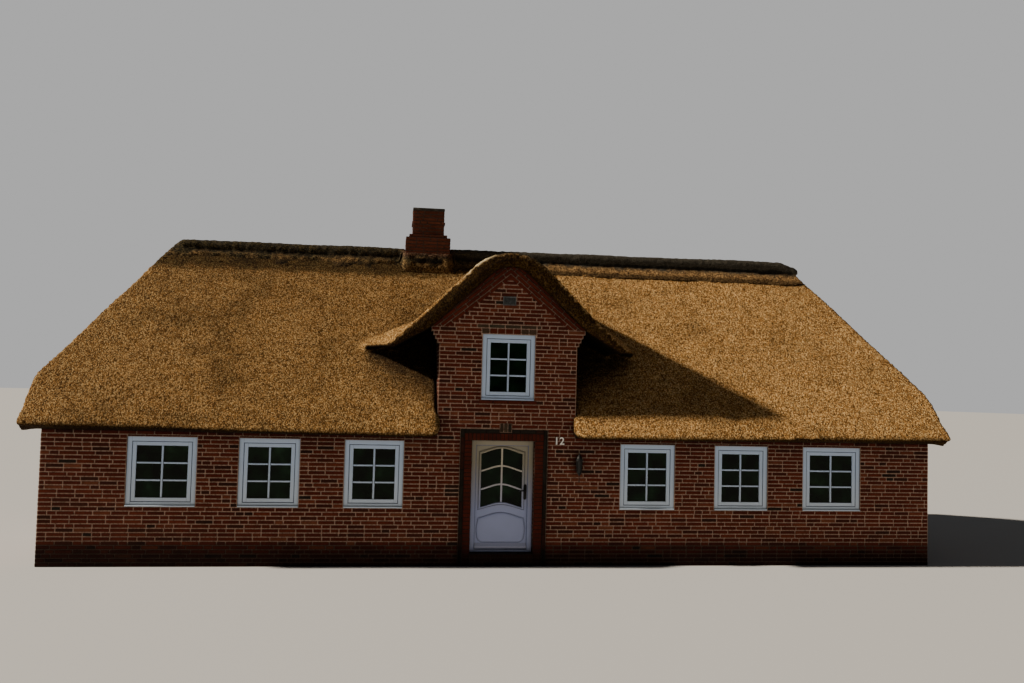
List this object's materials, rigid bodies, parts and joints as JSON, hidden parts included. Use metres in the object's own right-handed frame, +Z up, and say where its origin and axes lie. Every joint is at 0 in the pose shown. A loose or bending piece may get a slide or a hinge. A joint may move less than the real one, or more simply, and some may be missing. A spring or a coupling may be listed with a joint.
{
  "type": "thatched cottage",
  "caption": "Detached thatched brick cottage with hipped ends, a gabled dormer over a hinged front door, a stepped chimney and white casement windows.",
  "frame": {"origin": "on the ground under the middle of the ridge, at the centre of the walls' plan", "axes": "+X along the ridge to the right as seen from the front, -Y out through the front door, +Z up"},
  "size_m": [15.6, 6.62, 6.485],
  "materials": {
    "brick": "rough red-brown and burnt clay bricks with pale recessed joints",
    "thatch": "combed and clipped straw thatch, golden brown, matt",
    "heather": "dark heather ridge with moss, matt",
    "white_paint": "white painted joinery, satin",
    "glass": "dark window glass, clear and shiny",
    "black_metal": "black painted iron, satin",
    "cap_stone": "dark weathered cap slab",
    "screed": "plain grey floor",
    "boards": "plain floorboards, satin"
  },
  "bodies": {
    "house": {"back_wall": "brick", "chimney_cap": "cap_stone", "chimney_stack": "brick", "door_frame": "white_paint", "door_sill": "brick", "dormer_cheek_left": "brick", "dormer_cheek_right": "brick", "end_wall_left": "brick", "end_wall_right": "brick", "front_wall_left": "brick", "front_wall_right": "brick", "gable_wall": "brick", "ground_floor": "screed", "ridge_cover": "heather", "thatch_back": "thatch", "thatch_dormer": "thatch", "thatch_front_left": "thatch", "thatch_front_right": "thatch", "thatch_hip_left": "thatch", "thatch_hip_right": "thatch", "thatch_over_dormer": "thatch", "upper_floor": "boards", "wall_lantern": "black_metal", "window_back_1_frame": "white_paint", "window_back_1_glass": "glass", "window_back_2_frame": "white_paint", "window_back_2_glass": "glass", "window_back_3_frame": "white_paint", "window_back_3_glass": "glass", "window_back_4_frame": "white_paint", "window_back_4_glass": "glass", "window_dormer_frame": "white_paint", "window_dormer_glass": "glass", "window_left_end_frame": "white_paint", "window_left_end_glass": "glass", "window_left_far_frame": "white_paint", "window_left_far_glass": "glass", "window_left_middle_frame": "white_paint", "window_left_middle_glass": "glass", "window_left_near_frame": "white_paint", "window_left_near_glass": "glass", "window_right_end_frame": "white_paint", "window_right_end_glass": "glass", "window_right_far_frame": "white_paint", "window_right_far_glass": "glass", "window_right_middle_frame": "white_paint", "window_right_middle_glass": "glass", "window_right_near_frame": "white_paint", "window_right_near_glass": "glass"},
    "door": {"front_door": "white_paint", "front_door_glass": "glass", "door_handle": "black_metal"}
  },
  "joints": [
    {"name": "front_door_hinge", "type": "hinge", "parent": "house", "child": "door", "pos_m": [-0.6387, -2.804, 1.13], "axis": [0, 0, 1], "range_deg": [0, 90]}
  ]
}
